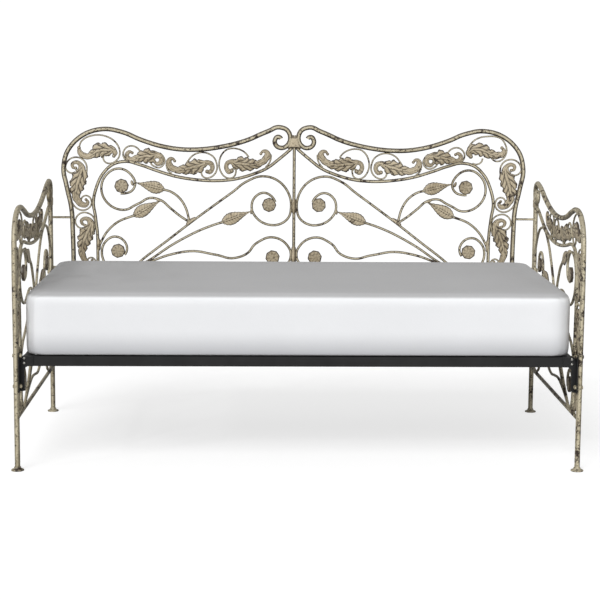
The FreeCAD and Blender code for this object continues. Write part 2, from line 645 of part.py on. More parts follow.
def build_link_deck():
    """Wire mesh of the deck, and the helical springs that stretch it inside the frame."""
    wires = []
    springs = []
    for row in range(LINK_ROWS):
        y = LINK_HALF_Y * (2 * row / (LINK_ROWS - 1) - 1)
        wires.append(straight_rod(V(-LINK_HALF_X, y, WIRE_Z), V(LINK_HALF_X, y, WIRE_Z), WIRE_R))
        for side in (-1, 1):
            springs.append(straight_rod(V(side * LINK_HALF_X, y, WIRE_Z),
                                        V(side * (DECK_X - ANGLE_T), y, WIRE_Z), SPRING_R))
    low = WIRE_Z - 2 * WIRE_R
    for column in range(LINK_COLUMNS):
        x = (LINK_HALF_X - 20) * (2 * column / (LINK_COLUMNS - 1) - 1)
        wires.append(straight_rod(V(x, -LINK_HALF_Y - 10, low), V(x, LINK_HALF_Y + 10, low),
                                  WIRE_R))
        for side in (-1, 1):
            springs.append(straight_rod(V(x, side * (LINK_HALF_Y + 10), low),
                                        V(x, side * (DECK_Y - ANGLE_T), low), SPRING_R))
    add("deck_link_wires", *wires)
    add("deck_springs", *springs)


# ---- mattress -----------------------------------------------------------------------------
def build_mattress():
    block = Part.makeBox(MATTRESS_LENGTH, MATTRESS_WIDTH, MATTRESS_HEIGHT,
                         V(-MATTRESS_LENGTH / 2, -MATTRESS_WIDTH / 2, DECK_TOP))
    upright = [e for e in block.Edges if abs(e.tangentAt(0).z) > 0.9]
    block = block.makeFillet(MATTRESS_CORNER_R, upright)
    for z, radius in ((DECK_TOP + MATTRESS_HEIGHT, MATTRESS_TOP_R), (DECK_TOP, MATTRESS_FOOT_R)):
        rim = [e for e in block.Edges
               if e.BoundBox.ZLength < 0.01 and abs(e.CenterOfMass.z - z) < 0.01]
        block = block.makeFillet(radius, rim)
    add("mattress", block)


for sign, side_word in ((-1, "left"), (1, "right")):
    build_back_half(sign, side_word)
    build_arm(sign, side_word)
build_back_middle()
crest_collars()
back_fixings()
build_arm_bosses_and_feet()
build_deck_frame()
build_brackets_and_fasteners()
build_link_deck()
build_mattress()
print(len(nodes), "nodes")
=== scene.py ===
"""Looks of the wrought metal daybed: distressed paint, cast leaves and bosses, springs, mattress.

The scene is in metres, +Z up, with the front towards -Y. Flat shapes are in millimetres: of the
back, pairs (u, z) with u outward from the middle, and of an arm, pairs (y, z).
"""
import json
import math
import random

import bmesh
import bpy
import numpy as np
from mathutils import Matrix, Vector, noise


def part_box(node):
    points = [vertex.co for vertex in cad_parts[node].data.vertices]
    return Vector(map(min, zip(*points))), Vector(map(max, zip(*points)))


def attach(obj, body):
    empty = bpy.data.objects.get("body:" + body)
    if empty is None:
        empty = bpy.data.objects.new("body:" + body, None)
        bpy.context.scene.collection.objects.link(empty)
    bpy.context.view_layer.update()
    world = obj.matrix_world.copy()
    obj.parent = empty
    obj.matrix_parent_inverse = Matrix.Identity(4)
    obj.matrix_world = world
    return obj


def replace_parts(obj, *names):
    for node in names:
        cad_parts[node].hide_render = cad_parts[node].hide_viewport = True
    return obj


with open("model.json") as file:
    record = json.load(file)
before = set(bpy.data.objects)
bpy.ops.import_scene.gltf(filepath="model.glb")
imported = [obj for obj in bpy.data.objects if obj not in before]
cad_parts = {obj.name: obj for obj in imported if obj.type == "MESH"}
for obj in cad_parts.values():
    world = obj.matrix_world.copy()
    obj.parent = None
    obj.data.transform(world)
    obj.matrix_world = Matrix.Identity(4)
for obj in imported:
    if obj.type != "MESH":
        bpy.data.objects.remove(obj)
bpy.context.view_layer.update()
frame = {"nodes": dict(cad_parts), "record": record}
nodes = frame["nodes"]

MM = 0.001
ARM_X = 986.0
LEG_Y = 511.0

# ---- flat shapes ----------------------------------------------------------------------------
# A spine is a list of (across, up, half width) along the middle of an acanthus casting.
SPINES = {
    "A": [(253, 991, 8), (264, 988, 10), (275, 1004, 9), (270, 1022, 9), (256, 1028, 10),
          (238, 1022, 18), (218, 1021, 25), (196, 1018, 25), (176, 1017, 22), (156, 1018, 17),
          (136, 1024, 13), (117, 1038, 13), (108, 1056, 13), (115, 1070, 9), (128, 1070, 6),
          (135, 1061, 4)],
    "B": [(352, 988, 7), (341, 986, 9), (331, 1000, 9), (335, 1018, 10), (350, 1024, 10),
          (368, 1018, 16), (388, 1010, 27), (410, 1005, 26), (431, 999, 22), (453, 995, 16),
          (476, 994, 13), (497, 1004, 13), (507, 1022, 12), (501, 1037, 9), (490, 1038, 6),
          (483, 1030, 4)],
    "C": [(654, 1062, 4), (665, 1066, 7), (676, 1054, 9), (671, 1039, 10), (656, 1035, 10),
          (638, 1039, 14), (618, 1045, 21), (598, 1049, 27), (578, 1049, 25), (561, 1053, 15),
          (544, 1050, 11), (536, 1036, 10), (541, 1022, 10), (555, 1018, 8), (564, 1026, 5)],
    "D": [(868, 1081, 6), (865, 1064, 10), (851, 1050, 12), (830, 1047, 12), (810, 1057, 17),
          (790, 1070, 26), (768, 1073, 26), (748, 1072, 20), (732, 1071, 14), (723, 1060, 10),
          (728, 1049, 6)],
    "E": [(882, 999, 5), (893, 1002, 6), (895, 1016, 7), (879, 1023, 8), (863, 1013, 10),
          (858, 992, 17), (864, 968, 28), (873, 944, 28), (879, 919, 25), (883, 894, 17),
          (876, 870, 14), (861, 854, 12), (844, 850, 10), (835, 862, 7), (842, 872, 4)],
    "F": [(848, 768, 4), (858, 774, 6), (861, 787, 7), (847, 795, 8), (829, 788, 11),
          (824, 768, 16), (834, 748, 25), (843, 728, 27), (851, 706, 25), (857, 682, 19),
          (860, 658, 14), (855, 636, 12), (844, 620, 10), (829, 612, 8), (817, 616, 6),
          (820, 625, 4)],
    "G": [(842, 1090, 5), (850, 1080, 8), (846, 1066, 11), (828, 1060, 13), (806, 1062, 16),
          (784, 1070, 19), (764, 1080, 24), (742, 1084, 22), (722, 1082, 19), (708, 1070, 13),
          (716, 1054, 8)],
}
BACK_UNITS = {"left": "ABCDEF", "right": "ABCGEF"}
# unit, centre on the back, centre on the arm, scale
ARM_UNITS = [
    ("A", (200, 1021), (161.4, 812), (0.80, 0.80)),
    ("B", (414, 1013), (-14, 802.5), (0.84, 0.84)),
    ("C", (606, 1046), (-190.0, 812), (1.0, 1.0)),
    ("D", (786, 1076), (-382, 843.5), (1.0, 1.0)),
    ("F", (846, 708), (-457.9, 684), (1.03, 0.875)),
    ("F", (846, 708), (-457.9, 488), (1.03, 0.875)),
    ("F", (846, 708), (-457.9, 292), (1.03, 0.875)),
]
# stem, base of the leaf, tip of the leaf
BACK_SPRAYS = [
    ([(648, 594), (585, 628), (500, 686), (400, 741), (330, 770), (286, 784)],
     (292, 783), (173, 828)),
    ([(424, 786), (438, 838), (462, 878), (498, 905), (532, 915)], (526, 914), (643, 942)),
    ([(790, 686), (758, 742), (712, 783), (644, 810)], (650, 807), (538, 871)),
]
ARM_SPRAYS = [
    ([(-318, 190), (-230, 232), (-130, 298), (-40, 382), (50, 476), (176, 586)],
     (171, 582), (298, 622)),
    ([(8, 526), (-8, 572), (-38, 624), (-80, 674), (-134, 705)], (-127, 702), (-246, 752)),
    ([(-401, 336), (-382, 386), (-338, 426), (-270, 455), (-196, 488)],
     (-203, 485), (-88, 560)),
]
STEM_R = 5.0
LEAF_WIDTH = 52.0
CLASP_DEPTH = 11.5
# one lobe of an acanthus edge, and the slower drift that makes the lobes uneven
LOBE_PITCH = 29.0
LOBE_DRIFT = 26.0
# sheaths over the welds: place, direction of the run, length, radius
BACK_SHEATHS = [
    ((418, 787), 142, 46, 9.5), ((792, 690), 88, 50, 10.0), ((548, 872), 20, 26, 7.0),
    ((655, 940), 70, 22, 6.5), ((172, 829), 100, 26, 6.5),
]
MIDDLE_SHEATHS = [((0, 850), 90, 66, 13.5), ((0, 648), 90, 78, 14.0)]
ARM_SHEATHS = [
    ((6, 524), 50, 42, 8.0), ((-403, 334), 88, 42, 9.0), ((-246, 751), 160, 24, 7.0),
    ((298, 622), 90, 24, 6.5), ((-90, 562), 30, 26, 7.0),
]


def back_plane(side):
    """Back of the bed: (across, up, out) in mm to metres; out is towards the front."""
    return lambda p, out=0.0: Vector((side * p[0], LEG_Y - out, p[1])) * MM


def arm_plane(side):
    """An arm: (y, z, out) in mm to metres; out is away from the middle of the bed."""
    return lambda p, out=0.0: Vector((side * (ARM_X + out), p[0], p[1])) * MM


# ---- curves ---------------------------------------------------------------------------------
def smooth(points, per=8):
    """Points along a centripetal spline through the given ones; extra values blend too."""
    pts = [np.array(p, float) for p in points]
    pts = [2 * pts[0] - pts[1]] + pts + [2 * pts[-1] - pts[-2]]
    out = []
    for i in range(1, len(pts) - 2):
        p0, p1, p2, p3 = pts[i - 1:i + 3]
        t0 = 0.0
        t1 = t0 + math.sqrt(math.dist(p0[:2], p1[:2]))
        t2 = t1 + math.sqrt(math.dist(p1[:2], p2[:2]))
        t3 = t2 + math.sqrt(math.dist(p2[:2], p3[:2]))
        for k in range(per):
            t = t1 + (t2 - t1) * k / per
            a1 = p0 * ((t1 - t) / (t1 - t0)) + p1 * ((t - t0) / (t1 - t0))
            a2 = p1 * ((t2 - t) / (t2 - t1)) + p2 * ((t - t1) / (t2 - t1))
            a3 = p2 * ((t3 - t) / (t3 - t2)) + p3 * ((t - t2) / (t3 - t2))
            b1 = a1 * ((t2 - t) / (t2 - t0)) + a2 * ((t - t0) / (t2 - t0))
            b2 = a2 * ((t3 - t) / (t3 - t1)) + a3 * ((t - t1) / (t3 - t1))
            out.append(b1 * ((t2 - t) / (t2 - t1)) + b2 * ((t - t1) / (t2 - t1)))
    out.append(pts[-2])
    return [tuple(p) for p in out]


def headings(points):
    """Direction of travel at each point of a flat line."""
    result = []
    last = len(points) - 1
    for i in range(len(points)):
        a = points[max(i - 1, 0)]
        b = points[min(i + 1, last)]
        result.append(math.atan2(b[1] - a[1], b[0] - a[0]))
    return result


# ---- meshes ---------------------------------------------------------------------------------
class Builder:
    """Collects vertices, faces and a darkening value per vertex (0 proud, 1 deep): dirt in the
    hollows, and painted shade at outer edges and rosette rims.
    """

    def __init__(self):
        self.verts = []
        self.faces = []
        self.hollow_dirt_and_edge_shade = []

    def point(self, co, hollow_dirt_and_edge_shade=0.0):
        self.verts.append(co)
        self.hollow_dirt_and_edge_shade.append(hollow_dirt_and_edge_shade)
        return len(self.verts) - 1

    def grid(self, rows, closed=False):
        """Quads between rows of vertex indices; closed joins each row's end to its start."""
        for a, b in zip(rows, rows[1:]):
            n = len(a)
            for i in range(n if closed else n - 1):
                j = (i + 1) % n
                self.faces.append((a[i], a[j], b[j], b[i]))

    def fan(self, centre, row):
        """Triangles from a middle vertex to a closed row."""
        for i in range(len(row)):
            self.faces.append((centre, row[i], row[(i + 1) % len(row)]))

    def join_borders(self, front, back):
        """Closes two open grids of the same size along their outer edges."""
        rims = []
        for rows in (front, back):
            rims.append([r[0] for r in rows] + rows[-1][1:] + [r[-1] for r in rows[::-1]][1:]
                        + rows[0][::-1][1:-1])
        self.grid(rims, closed=True)

    def build(self, name, material, body="frame"):
        mesh = bpy.data.meshes.new(name)
        mesh.from_pydata([tuple(v) for v in self.verts], [], self.faces)
        layer = mesh.attributes.new("hollow_dirt_and_edge_shade", "FLOAT", "POINT")
        layer.data.foreach_set("value", self.hollow_dirt_and_edge_shade)
        bm = bmesh.new()
        bm.from_mesh(mesh)
        bmesh.ops.recalc_face_normals(bm, faces=bm.faces)
        bm.to_mesh(mesh)
        bm.free()
        mesh.polygons.foreach_set("use_smooth", [True] * len(mesh.polygons))
        piece = bpy.data.objects.new(name, mesh)
        bpy.context.scene.collection.objects.link(piece)
        mesh.materials.append(material)
        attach(piece, body)
        return piece


def tube(builder, path, radii, sides=10, squash=1.0):
    """Closed tube along a 3-D path with a radius at each point."""
    count = len(path)
    tangents = [(path[min(i + 1, count - 1)] - path[max(i - 1, 0)]).normalized()
                for i in range(count)]
    side = tangents[0].orthogonal().normalized()
    rows = []
    for i, p in enumerate(path):
        side = (side - tangents[i] * side.dot(tangents[i])).normalized()
        other = tangents[i].cross(side)
        rows.append([builder.point(p + (side * math.cos(a) + other * math.sin(a) * squash)
                                   * radii[i])
                     for a in (2 * math.pi * k / sides for k in range(sides))])
    builder.grid(rows, closed=True)
    builder.fan(builder.point(path[0] - tangents[0] * radii[0] * 0.3), rows[0][::-1])
    builder.fan(builder.point(path[-1] + tangents[-1] * radii[-1] * 0.3), rows[-1])


# ---- cast leaf ------------------------------------------------------------------------------
LEAF_PROFILE = [(0.0, 0.12), (0.06, 0.26), (0.14, 0.40), (0.24, 0.49), (0.36, 0.50), (0.48, 0.43),
                (0.60, 0.32), (0.72, 0.20), (0.84, 0.10), (0.93, 0.055), (1.0, 0.02)]


def leaf_half_width(t):
    """Half width of a leaf as a share of LEAF_WIDTH, t running from base to tip."""
    for (a, wa), (b, wb) in zip(LEAF_PROFILE, LEAF_PROFILE[1:]):
        if t <= b:
            k = (t - a) / (b - a)
            k = k * k * (3 - 2 * k)
            return wa + (wb - wa) * k
    return LEAF_PROFILE[-1][1]


def add_leaf(builder, plane, base, tip, seed):
    """Domed leaf with a raised midrib and herringbone veins, the same on both faces."""
    rng = random.Random(seed)
    length = math.dist(base, tip)
    a = math.atan2(tip[1] - base[1], tip[0] - base[0])
    along, across, veins = 56, 24, 11
    bend = rng.uniform(-3.0, 3.0)
    faces = []
    for front in (1, -1):
        rows = []
        for i in range(along + 1):
            t = i / along
            half = leaf_half_width(t) * LEAF_WIDTH
            row = []
            for j in range(across + 1):
                s = 2 * j / across - 1
                edge = abs(s)
                notch = 0.035 * (0.5 + 0.5 * math.cos(2 * math.pi * t * veins)) * edge ** 6
                w = s * half * (1 - notch)
                vein_phase = t * veins - edge * 0.9
                vein = 0.5 + 0.5 * math.cos(2 * math.pi * vein_phase)
                rib = math.exp(-(s / 0.10) ** 2)
                groove = math.exp(-((edge - 0.17) / 0.07) ** 2)
                fade = max(0.0, 1 - edge ** 4)
                dome = 4.6 * math.sqrt(max(0.0, 1 - edge ** 2.4)) * min(1.0, half / 12)
                relief = 1.5 * rib - 0.5 * groove
                relief += (0.6 * vein ** 3 - 0.3) * fade * min(1.0, half / 10)
                wave = 1.2 * math.sin(2 * math.pi * (t * 1.3 + 0.1 * seed)) * edge ** 2 * s
                height = front * max(0.25, dome + relief * (1 - rib * 0.4))
                height += wave + bend * t * (1 - t) * 4
                x = base[0] + t * length * math.cos(a) - w * math.sin(a)
                y = base[1] + t * length * math.sin(a) + w * math.cos(a)
                # dirt in the vein hollows and the groove; the edge term paints shade along the
                # leaf's border
                hollow_dirt_and_edge_shade = min(1.0, 0.5 * (1 - vein) ** 2 * fade * (1 - rib) + 0.6 * groove
                             + 0.9 * edge ** 6)
                row.append(builder.point(plane((x, y), height), hollow_dirt_and_edge_shade))
            rows.append(row)
        faces.append(rows)
        builder.grid(rows)
    builder.join_borders(*faces)


def add_stem(builder, plane, points, flare):
    """Forged stem that swells where it becomes the leaf and where it leaves its parent."""
    line = smooth(points, 10)
    path = [plane(p) for p in line]
    radii = []
    for i in range(len(line)):
        t = i / (len(line) - 1)
        swell = 1 + 0.18 * math.exp(-((t - 1) / 0.05) ** 2) + 0.25 * math.exp(-(t / 0.04) ** 2)
        grain = 1 + 0.03 * noise.noise(Vector((line[i][0], line[i][1], flare)) * 0.06)
        radii.append(STEM_R * MM * swell * grain)
    tube(builder, path, radii, 12)


# ---- acanthus casting -----------------------------------------------------------------------
def add_casting(builder, plane, spine, seed):
    """Acanthus leaf along a spine: lobed edges, long ridges and beads in the curled ends."""
    line = smooth(spine, 8)
    angles = headings(line)
    across = 22
    lengths = [0.0]
    for p, q in zip(line, line[1:]):
        lengths.append(lengths[-1] + math.dist(p[:2], q[:2]))
    total = lengths[-1]
    widest = max(p[2] for p in line)
    middle = max(range(len(line)), key=lambda i: line[i][2])
    flow = 1 if lengths[middle] < total / 2 else -1
    faces = []
    for front in (1, -1):
        rows = []
        for i, (x, y, half) in enumerate(line):
            d = lengths[i]
            t = d / total
            body = min(1.0, max(0.0, (half - 0.32 * widest) / (0.32 * widest)))
            row = []
            for j in range(across + 1):
                s = 2 * j / across - 1
                edge = abs(s)
                drift = 0.22 * noise.noise(Vector((d / LOBE_DRIFT, s * 1.5, 3.7 * seed)))
                beat = (d / LOBE_PITCH * flow + (0.5 if s > 0 else 0.0)) + drift
                lobe = abs(math.sin(math.pi * beat)) ** 0.55
                frill = 0.10 * abs(math.sin(math.pi * 2.3 * beat)) - 0.05
                outward = 1 + body * (0.40 * lobe - 0.20 + frill) * edge ** 3
                w = s * half * outward
                sweep = edge * half * 1.7 / LOBE_PITCH
                leaflet = abs(math.sin(math.pi * (beat - sweep)))
                rib = math.exp(-(s / 0.13) ** 2)
                valley = math.exp(-((edge - 0.24) / 0.09) ** 2)
                dome = math.sqrt(max(0.0, 1 - edge ** 2.8))
                swell = min(1.0, half / 9.0)
                relief = 1.5 * leaflet ** 0.6 * (1 - rib) + 1.7 * rib - 0.9 * valley
                flute = math.exp(-((edge - 0.42) / 0.13) ** 2) * (1 - body)
                height = 1.8 + 3.6 * dome * swell + body * relief * (1 - edge ** 7) - 0.9 * flute
                # dirt in the hollows between leaflets and in the valleys; the edge term paints
                # shade along the border
                hollow_dirt_and_edge_shade = body * (1 - rib) * (1 - leaflet) ** 1.3 * 1.05
                hollow_dirt_and_edge_shade = max(hollow_dirt_and_edge_shade, 0.75 * valley * body, 0.8 * flute, 0.95 * edge ** 7)
                ends = min(1.0, t / 0.03 + 0.4, (1 - t) / 0.03 + 0.4)
                px = x - w * math.sin(angles[i])
                py = y + w * math.cos(angles[i])
                row.append(builder.point(plane((px, py), front * height * ends), min(1.0, hollow_dirt_and_edge_shade)))
            rows.append(row)
        faces.append(rows)
        builder.grid(rows)
    builder.join_borders(*faces)
    for end in (0, -1):
        x, y, half = line[end]
        add_bead(builder, plane((x, y)), (half * 0.7 + 3.4) * MM)


def add_bead(builder, centre, radius, rings=8, sides=14):
    """Round bead in the curled end of a casting."""
    rows = []
    for i in range(1, rings):
        phi = math.pi * i / rings
        rows.append([builder.point(centre + Vector((
            math.sin(phi) * math.cos(2 * math.pi * k / sides),
            math.sin(phi) * math.sin(2 * math.pi * k / sides), math.cos(phi))) * radius, 0.15)
            for k in range(sides)])
    builder.grid(rows, closed=True)
    builder.fan(builder.point(centre + Vector((0, 0, radius))), rows[0])
    builder.fan(builder.point(centre - Vector((0, 0, radius))), rows[-1][::-1])


def mirrored(points, source, target, scale):
    """A spine turned over left to right, resized and moved from source to target."""
    return [(target[0] + (source[0] - p[0]) * scale[0], target[1] + (p[1] - source[1]) * scale[1],
             p[2] * min(scale)) for p in points]


# ---- clasps ---------------------------------------------------------------------------------
def add_clasp(builder, centre, long_axis, profile):
    """Cast clasp: oval sections whose half width follows a profile of (height, half width)."""
    sides = 28
    line = smooth(profile, 6)
    rows = []
    for k, (z, w) in enumerate(line):
        t = k / (len(line) - 1)
        end = min(1.0, math.sqrt(max(0.0, 1 - (2 * t - 1) ** 8)) + 0.05)
        taper = 1 - (2 * t - 1) ** 6 * 0.35
        row = []
        for i in range(sides):
            a = 2 * math.pi * i / sides
            c, n = math.cos(a), math.sin(a)
            wobble = 1 + 0.05 * noise.noise(Vector((c * 2, z * 0.07, n * 2)))
            out = long_axis * (w * end * wobble * math.copysign(abs(c) ** 0.8, c))
            back = long_axis.cross(Vector((0, 0, 1))) * (CLASP_DEPTH * end * wobble * taper
                                                         * math.copysign(abs(n) ** 0.8, n))
            flare = c * c * (9 * t ** 3 - 7 * (1 - t) ** 3)
            co = Vector(centre) + out + back + Vector((0, 0, z + flare))
            # the clasp's two ends are darkened a little as painted shade
            row.append(builder.point(co * MM, 0.25 * abs(c) ** 6))
        rows.append(row)
    builder.grid(rows, closed=True)
    for row, z in ((rows[0], line[0][0]), (rows[-1], line[-1][0])):
        builder.fan(builder.point((Vector(centre) + Vector((0, 0, z))) * MM, 0.2), row)


# ---- rosettes -------------------------------------------------------------------------------
ROSETTE_HUB = 6.2
ROSETTE_RIM = 3.0
ROSETTE_LIP = 4.4


def add_rosette(builder, centre, normal, radius, seed):
    """Faceted rose boss: eight flats round the rim and petals curling in to a hub."""
    rng = random.Random(seed)
    turn = rng.uniform(0, math.pi / 4)
    hand = rng.choice((-1, 1))
    u = Vector((0, 0, 1))
    v = normal.cross(u)
    rings, sides = 22, 80
    rims = []
    for front in (1, -1):
        rows = []
        hub = builder.point(centre + normal * front * ROSETTE_HUB * MM, 0.4)
        for i in range(1, rings + 1):
            r = i / rings
            row = []
            for k in range(sides):
                a = 2 * math.pi * k / sides
                flat = (a + turn) % (math.pi / 4) - math.pi / 8
                shape = 1 - 0.075 * (1 - (1 / math.cos(flat) - 1) / 0.0824)
                swirl = (hand * a / (2 * math.pi) * 3 + r * 2.1 + turn) % 1.0
                petal = 0.35 + 0.4 * swirl ** 0.7 * (1 - swirl ** 7)
                crown = 3.4 * math.sqrt(max(0.0, 1 - (r * 0.93) ** 6))
                facet = 0.5 * math.cos(8 * (a + turn)) * r ** 2
                inner = 1 - r ** 5
                h = 2.2 + crown + (1.9 * petal - 0.9) * inner + facet * inner
                h += 1.2 * math.exp(-(r / 0.15) ** 2)
                if i >= rings - 1:
                    h = min(h, ROSETTE_LIP) if i < rings else ROSETTE_RIM
                co = (u * math.cos(a) + v * math.sin(a)) * (radius * min(r * 1.04, 1.0) * shape)
                spoke = abs(math.sin(4 * (a + turn)))
                # dirt in the gaps between the petals; the outer three rings, the side of the rim,
                # are painted fully dark as shade
                hollow_dirt_and_edge_shade = 0.24 + 0.3 * (1 - spoke) ** 2 * (1 - math.exp(-(r / 0.3) ** 2))
                hollow_dirt_and_edge_shade += 0.5 * (1 - petal) ** 2 * inner
                row.append(builder.point(centre + co + normal * (front * min(h, 7.0) * MM),
                                         max(min(1.0, hollow_dirt_and_edge_shade), 1.0 if i >= rings - 3 else 0.0)))
            rows.append(row)
        builder.fan(hub, rows[0])
        builder.grid(rows, closed=True)
        rims.append(rows[-1])
    builder.grid(rims, closed=True)


def islands(node):
    """Boxes (low, high) of the separate solids in a CAD node."""
    mesh = nodes[node].data
    parent = list(range(len(mesh.vertices)))
    index = {}

    def find(i):
        while parent[i] != i:
            parent[i] = parent[parent[i]]
            i = parent[i]
        return i

    for v in mesh.vertices:
        key = tuple(round(c, 6) for c in v.co)
        if key in index:
            parent[find(v.index)] = find(index[key])
        else:
            index[key] = v.index
    for e in mesh.edges:
        a, b = find(e.vertices[0]), find(e.vertices[1])
        if a != b:
            parent[a] = b
    groups = {}
    for v in mesh.vertices:
        groups.setdefault(find(v.index), []).append(v.co)
    boxes = []
    for cos in groups.values():
        arr = np.array(cos)
        boxes.append((Vector(arr.min(0)), Vector(arr.max(0))))
    return sorted(boxes, key=lambda b: tuple(round(c, 4) for c in b[0]))


# ---- materials ------------------------------------------------------------------------------
def srgb(r, g, b):
    """A screen colour, 0 to 255 each, as the linear one that a shader takes."""
    def lin(c):
        c /= 255.0
        return c / 12.92 if c <= 0.04045 else ((c + 0.055) / 1.055) ** 2.4
    return (lin(r), lin(g), lin(b), 1.0)


class Nodes:
    """Short way to write a node tree."""

    def __init__(self, name):
        self.material = bpy.data.materials.new(name)
        self.material.use_nodes = True
        self.tree = self.material.node_tree
        self.shader = self.tree.nodes["Principled BSDF"]
        coords = self.tree.nodes.new("ShaderNodeTexCoord")
        self.coords = coords.outputs["Object"]

    def add(self, kind, inputs=(), **settings):
        node = self.tree.nodes.new("ShaderNode" + kind)
        for key, value in settings.items():
            setattr(node, key, value)
        for key, value in dict(inputs).items():
            if hasattr(value, "is_output"):
                self.tree.links.new(value, node.inputs[key])
            else:
                node.inputs[key].default_value = value
        return node

    def noise(self, scale, detail, rough=0.6, distortion=0.0):
        node = self.add("TexNoise", {"Vector": self.coords, "Scale": scale, "Detail": detail,
                                     "Roughness": rough, "Distortion": distortion})
        return node.outputs["Fac"]

    def ramp(self, value, stops):
        node = self.add("ValToRGB", {"Fac": value})
        elements = node.color_ramp.elements
        while len(elements) < len(stops):
            elements.new(0.5)
        for element, (place, colour) in zip(elements, stops):
            element.position = place
            element.color = colour
        return node.outputs["Color"]

    def step(self, value, low, high):
        """0 at low and 1 at high, with eased ends; high may be the smaller number."""
        node = self.add("MapRange", {"Value": value, "From Min": low, "From Max": high},
                        interpolation_type="SMOOTHSTEP")
        return node.outputs["Result"]

    def math(self, operation, a, b=None):
        inputs = {0: a}
        if b is not None:
            inputs[1] = b
        return self.add("Math", inputs, operation=operation).outputs[0]

    def mix(self, factor, a, b):
        return self.add("MixRGB", {"Fac": factor, "Color1": a, "Color2": b}).outputs["Color"]

    def link(self, value, socket):
        self.tree.links.new(value, self.shader.inputs[socket])

    def parts(self, vector):
        return self.add("SeparateXYZ", {"Vector": vector}).outputs

    def bump(self, height, distance, strength, normal=None):
        inputs = {"Height": height, "Distance": distance, "Strength": strength}
        if normal:
            inputs["Normal"] = normal
        return self.add("Bump", inputs).outputs["Normal"]


def distressed(name, light, mid, dark, wear_low, wear_high, cast):
    """Antique paint: brushed tone changes, painted shade round the edges and undersides, worn
    spots and pits.

    A casting has fewer pits and a lighter painted edge shade than a bar. It also darkens where its
    per-vertex value is high: dirt in the hollows, painted shade at outer edges and rosette rims.
    On the arms the painted edge shade follows how far a surface turns from their own broad side.
    """
    pit_low, pit_high = (0.625, 0.67) if cast else (0.59, 0.635)
    # shares of the painted edge shade, and of the hollow dirt with painted edge shade
    edge_shade_share, dirt_and_edge_shade_share = (0.72, 0.92) if cast else (0.96, 0.0)
    m = Nodes(name)
    across = m.parts(m.coords)["X"]
    facing = m.parts(m.add("NewGeometry").outputs["Normal"])

    broad = m.noise(5.0, 3.0)
    brush = m.noise(70.0, 5.0, 0.65, 0.4)
    tone = m.math("ADD", m.math("MULTIPLY", broad, 0.55), m.math("MULTIPLY", brush, 0.45))
    paint = m.ramp(tone, [(0.34, mid), (0.52, light), (0.66, light)])

    spots = m.noise(34.0, 6.0, 0.72)
    patches = m.noise(9.0, 3.0, 0.5)
    worn = m.math("ADD", m.math("MULTIPLY", spots, 0.72), m.math("MULTIPLY", patches, 0.28))
    worn = m.math("ADD", worn, m.math("MULTIPLY", m.step(across, 0.5, 1.0), 0.025))
    pits = m.step(m.noise(130.0, 3.0, 0.6), pit_low, pit_high)
    wear = m.math("MAXIMUM", m.step(worn, wear_low, wear_high), pits)

    # painted shade: undersides, and faces turning away from the broad side, are darkened in the
    # colour
    underside_shade = m.step(facing["Z"], 0.05, -0.85)
    on_arm = m.step(m.math("ABSOLUTE", across), 0.953, 0.957)
    outward = m.math("MULTIPLY", m.math("ABSOLUTE", facing["X"]), on_arm)
    broad_side = m.math("MAXIMUM", outward, m.math("ABSOLUTE", facing["Y"]))
    rim_shade = m.math("MULTIPLY", m.step(broad_side, 0.99, 0.84),
                 m.math("ADD", 0.90, m.math("MULTIPLY", underside_shade, 0.10)))
    rim_shade = m.math("MULTIPLY", rim_shade, m.math("SUBTRACT", 1.0, m.math("MULTIPLY", on_arm, 0.5)))
    edge_shade = m.math("MULTIPLY", rim_shade, m.step(m.noise(30.0, 4.0, 0.6), 0.10, 0.42))

    # per-vertex darkening: dirt in the hollows, painted shade at outer edges and rosette rims
    hollow_dirt_and_edge_shade = m.add("Attribute", attribute_name="hollow_dirt_and_edge_shade").outputs["Fac"]
    dirt_and_edge_shade_mix = m.math("MULTIPLY", m.step(hollow_dirt_and_edge_shade, 0.15, 0.85), dirt_and_edge_shade_share)
    # mixes the painted edge and underside shade into the paint
    base = m.mix(m.math("MULTIPLY", edge_shade, edge_shade_share), paint, dark)
    # mixes in the hollow dirt and the painted edge shade
    base = m.mix(dirt_and_edge_shade_mix, base, dark)
    base = m.mix(wear, base, srgb(48, 37, 28))
    m.link(base, "Base Color")

    rough = m.step(m.math("ADD", brush, m.math("MULTIPLY", wear, 0.4)), 0.1, 1.3)
    rough = m.add("MapRange", {"Value": rough, "To Min": 0.38, "To Max": 0.66}).outputs["Result"]
    m.link(rough, "Roughness")
    m.shader.inputs["Metallic"].default_value = 0.0
    m.shader.inputs["Specular IOR Level"].default_value = 0.45

    hammer = m.noise(55.0, 3.0, 0.55)
    fine = m.noise(420.0, 3.0, 0.6)
    chips = m.math("MULTIPLY", wear, -1.0)
    normal = m.bump(hammer, 0.0016, 0.55)
    normal = m.bump(fine, 0.00035, 0.5, normal)
    normal = m.bump(chips, 0.0006, 0.7, normal)
    m.link(normal, "Normal")
    return m.material


def enamel():
    """Satin black enamel with a little grime."""
    m = Nodes("black_enamel")
    grime = m.noise(12.0, 5.0, 0.6)
    fine = m.noise(260.0, 3.0, 0.6)
    m.link(m.ramp(grime, [(0.3, srgb(15, 15, 16)), (0.7, srgb(24, 24, 25))]), "Base Color")
    m.link(m.add("MapRange", {"Value": grime, "To Min": 0.36, "To Max": 0.58}).outputs["Result"],
           "Roughness")
    m.link(m.bump(fine, 0.0003, 0.5), "Normal")
    return m.material


def steel(name, light, dark, rough_low, rough_high):
    """Bare steel with stains and fine scratches."""
    m = Nodes(name)
    stain = m.noise(90.0, 5.0, 0.7)
    scratch = m.noise(600.0, 2.0, 0.5)
    m.link(m.ramp(stain, [(0.3, dark), (0.65, light)]), "Base Color")
    m.shader.inputs["Metallic"].default_value = 0.9
    m.link(m.add("MapRange", {"Value": stain, "To Min": rough_low,
                              "To Max": rough_high}).outputs["Result"], "Roughness")
    m.link(m.bump(scratch, 0.0002, 0.4), "Normal")
    return m.material


